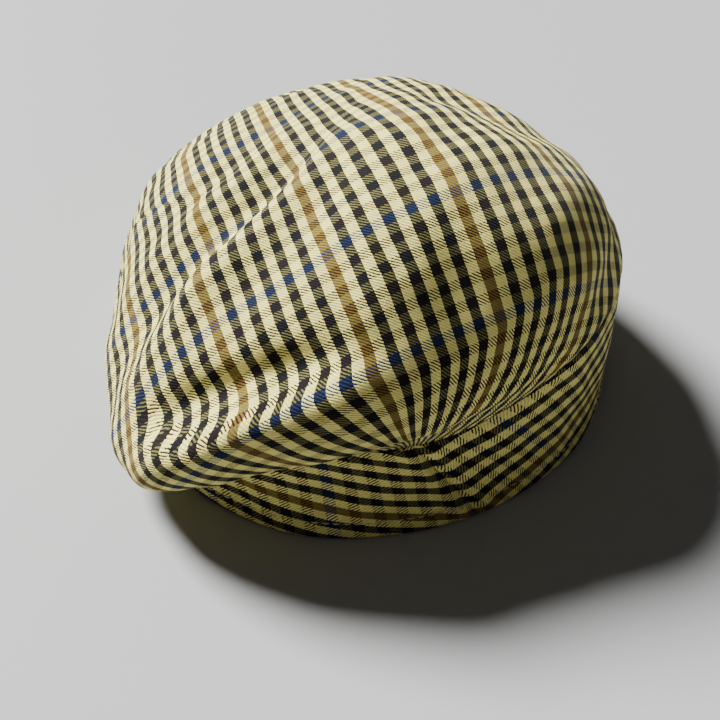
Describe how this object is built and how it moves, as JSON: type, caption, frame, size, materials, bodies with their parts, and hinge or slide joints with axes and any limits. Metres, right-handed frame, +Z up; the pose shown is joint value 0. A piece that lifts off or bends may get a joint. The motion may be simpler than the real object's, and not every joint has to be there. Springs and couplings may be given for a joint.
{
  "type": "flat cap",
  "caption": "Soft flat cap in a cream, black and blue check with a one-piece top, narrow side panels and a stiffened peak, its crown drooping to the back and to one side.",
  "frame": {"origin": "centre of the bounding box at the height of the surface that the cap rests on", "axes": "+Z up, +Y towards the back of the cap, so the peak points along -Y, +X towards the wearer's left"},
  "size_m": [0.1858, 0.2448, 0.0985],
  "materials": {
    "check_cloth": "soft brushed twill"
  },
  "bodies": {
    "root": {"top_panel": "check_cloth", "side_panel_left": "check_cloth", "side_panel_right": "check_cloth", "peak": "check_cloth"}
  },
  "joints": []
}
